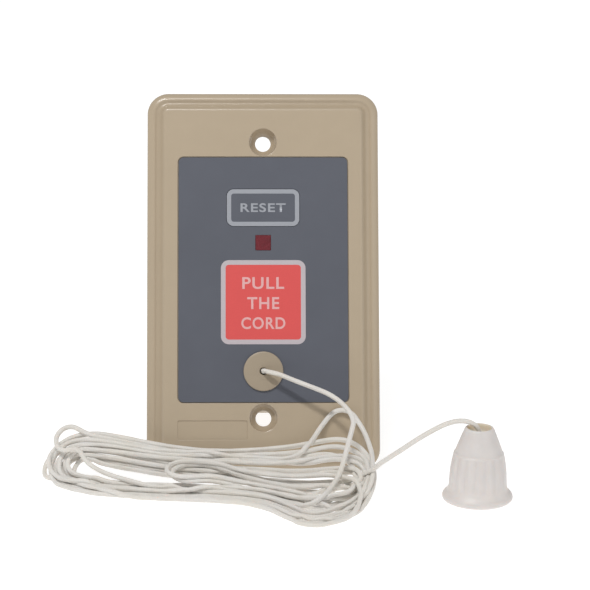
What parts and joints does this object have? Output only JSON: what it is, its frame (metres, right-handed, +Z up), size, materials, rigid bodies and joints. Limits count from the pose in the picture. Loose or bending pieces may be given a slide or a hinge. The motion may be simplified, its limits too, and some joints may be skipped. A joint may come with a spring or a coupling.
{
  "type": "pull cord switch",
  "caption": "Single-gang wall plate call switch with a recessed overlay, reset key, indicator window, and a pull cord with a bell-shaped knob.",
  "frame": {"origin": "on the table under the middle of the station, which leans back on its housing", "axes": "+X to the right of the plate, +Y behind the plate, +Z up"},
  "size_m": [0.1383, 0.1314, 0.1062],
  "materials": {
    "plate_plastic": "smooth moulded beige thermoplastic",
    "housing_plastic": "moulded plastic, fine satin",
    "label_film": "printed polyester film, satin",
    "lens_plastic": "clear dark red plastic",
    "brass": "turned",
    "spring_steel": "zinc plated",
    "black_plastic": "moulded",
    "board_laminate": "solder mask",
    "terminal_plastic": "moulded",
    "plunger_plastic": "acetal",
    "cord_braid": "braided cord",
    "bell_plastic": "translucent white plastic"
  },
  "bodies": {
    "station": {"wall_plate": "plate_plastic", "label_overlay": "label_film", "indicator_lens": "lens_plastic", "cord_bush": "plate_plastic", "bush_nut": "brass", "return_spring": "spring_steel", "plunger_barrel": "black_plastic", "microswitch_body": "black_plastic", "front_board": "board_laminate", "reset_switch_body": "black_plastic", "indicator_led": "lens_plastic", "rear_board": "board_laminate", "board_connector": "black_plastic", "latch_relay": "black_plastic", "smoothing_capacitor": "black_plastic", "control_chip": "black_plastic", "terminal_block": "terminal_plastic", "back_housing": "housing_plastic", "board_spacer_1": "brass", "board_spacer_2": "brass", "board_spacer_3": "brass", "board_spacer_4": "brass", "board_screw_1": "spring_steel", "board_screw_2": "spring_steel", "board_screw_3": "spring_steel", "board_screw_4": "spring_steel", "housing_screw_1": "spring_steel", "housing_screw_2": "spring_steel", "housing_screw_3": "spring_steel", "housing_screw_4": "spring_steel", "terminal_screw_1": "spring_steel", "terminal_screw_2": "spring_steel", "terminal_screw_3": "spring_steel", "terminal_screw_4": "spring_steel", "cord_lead": "cord_braid", "cord_hank": "cord_braid", "cord_tail": "cord_braid", "bell_knot": "cord_braid"},
    "plunger": {"pull_plunger": "plunger_plastic", "inner_cord": "cord_braid", "inner_knot": "cord_braid"},
    "switch_button": {"microswitch_button": "plunger_plastic"},
    "key": {"reset_key": "label_film"},
    "key_switch_button": {"reset_switch_button": "black_plastic"},
    "bell": {"pull_bell": "bell_plastic"}
  },
  "joints": [
    {"name": "pull_slide", "type": "slide", "parent": "station", "child": "plunger", "axis": [0, -0.9205, 0.3907], "range_m": [0, 0.004], "stiffness_N_per_m": 1200, "deforming": ["return_spring"]},
    {"name": "microswitch_press", "type": "slide", "parent": "station", "child": "switch_button", "axis": [0, 0.3907, 0.9205], "range_m": [0, 0.001]},
    {"name": "reset_press", "type": "slide", "parent": "station", "child": "key", "axis": [0, 0.9205, -0.3907], "range_m": [0, 0.00045], "stiffness_N_per_m": 3000},
    {"name": "reset_switch_press", "type": "slide", "parent": "station", "child": "key_switch_button", "axis": [0, 0.9205, -0.3907], "range_m": [0, 0.00045]},
    {"name": "bell_swivel", "type": "hinge", "parent": "station", "child": "bell", "pos_m": [0.062, -0.06478, 0.00007], "axis": [0.0087, 0, 1], "continuous": true}
  ],
  "couplings": [
    {"joint": "microswitch_press", "follows": "pull_slide", "ratio": 0.25},
    {"joint": "reset_switch_press", "follows": "reset_press", "ratio": 1}
  ]
}
